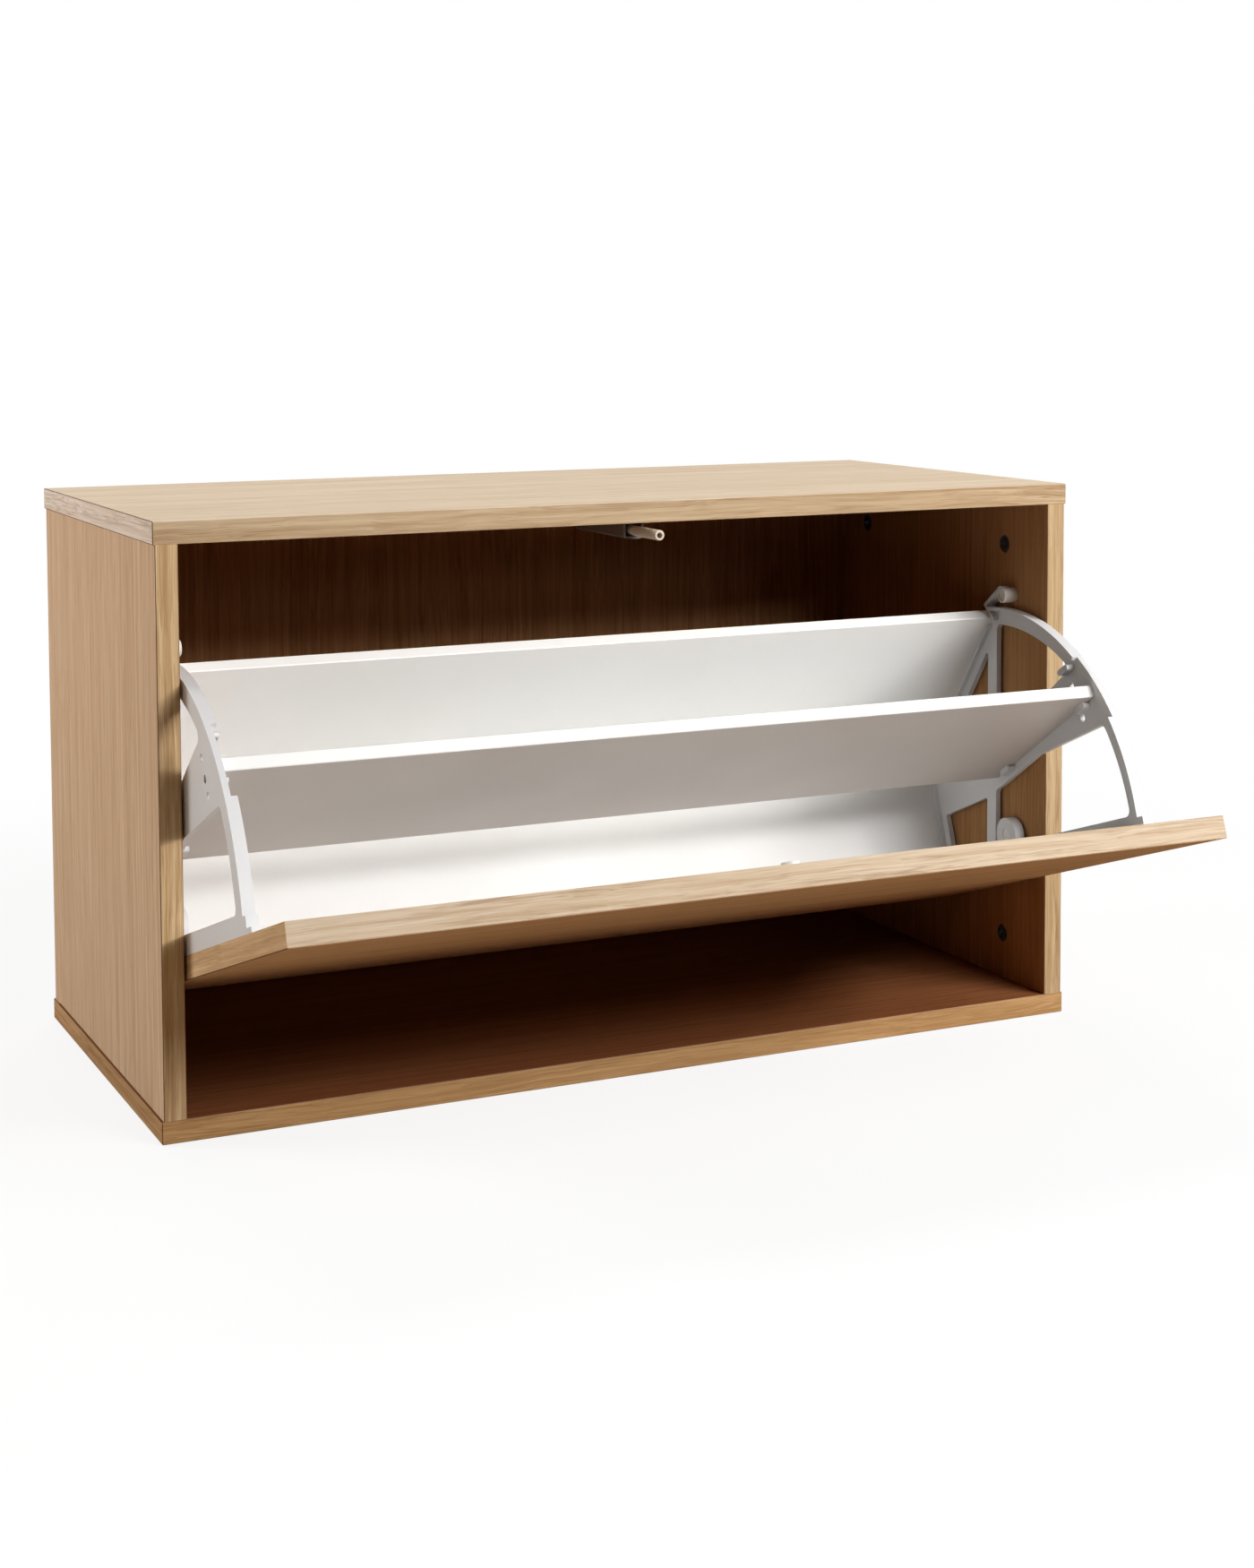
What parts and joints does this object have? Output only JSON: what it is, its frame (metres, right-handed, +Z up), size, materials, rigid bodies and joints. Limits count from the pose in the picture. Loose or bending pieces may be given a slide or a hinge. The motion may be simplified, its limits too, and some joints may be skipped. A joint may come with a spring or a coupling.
{
  "type": "shoe cabinet",
  "caption": "Low oak shoe cabinet with a tilting flap on moulded fan brackets that carries slanted shoe compartments and shuts against a push latch.",
  "frame": {"origin": "centre of the carcass underside", "axes": "+X along the width, towards the right seen from the front; +Y from the front to the back; +Z up"},
  "size_m": [0.76, 0.5851, 0.44],
  "materials": {
    "oak": "oiled oak, satin",
    "white_board": "white melamine-faced board, matt",
    "white_laminate": "white laminate, matt",
    "bracket_plastic": "moulded light grey plastic",
    "pin_plastic": "moulded off-white plastic",
    "zinc": "die-cast zinc",
    "steel": "zinc-plated steel",
    "beech": "raw beech",
    "latch_plastic": "moulded dark brown plastic",
    "plunger_plastic": "moulded beige plastic"
  },
  "bodies": {
    "carcass": {"top_panel": "oak", "bottom_panel": "oak", "left_side_panel": "oak", "right_side_panel": "oak", "back_panel": "oak", "cam_locks": "zinc", "cam_bolts": "steel", "dowels": "beech", "left_stop_pin": "pin_plastic", "right_stop_pin": "pin_plastic", "left_pivot_pin": "pin_plastic", "right_pivot_pin": "pin_plastic", "latch_housing": "latch_plastic", "latch_screws": "steel"},
    "flap": {"flap_panel": "oak", "flap_laminate": "white_laminate", "left_bracket": "bracket_plastic", "right_bracket": "bracket_plastic", "middle_divider": "white_board", "rear_divider": "white_board", "floor_board": "white_board", "divider_pegs": "bracket_plastic", "bracket_screws": "steel", "strike_disc": "pin_plastic"},
    "plunger": {"latch_plunger": "plunger_plastic"}
  },
  "joints": [
    {"name": "flap_tilt", "type": "hinge", "parent": "carcass", "child": "flap", "pos_m": [0, -0.134, 0.1435], "axis": [-1, 0, 0], "range_deg": [0, 71.7]},
    {"name": "latch_push", "type": "slide", "parent": "carcass", "child": "plunger", "axis": [0, 1, 0], "range_m": [0, 0.0414]}
  ],
  "couplings": [
    {"joint": "latch_push", "follows": "flap_tilt", "m_per_rad": 0.033081}
  ]
}
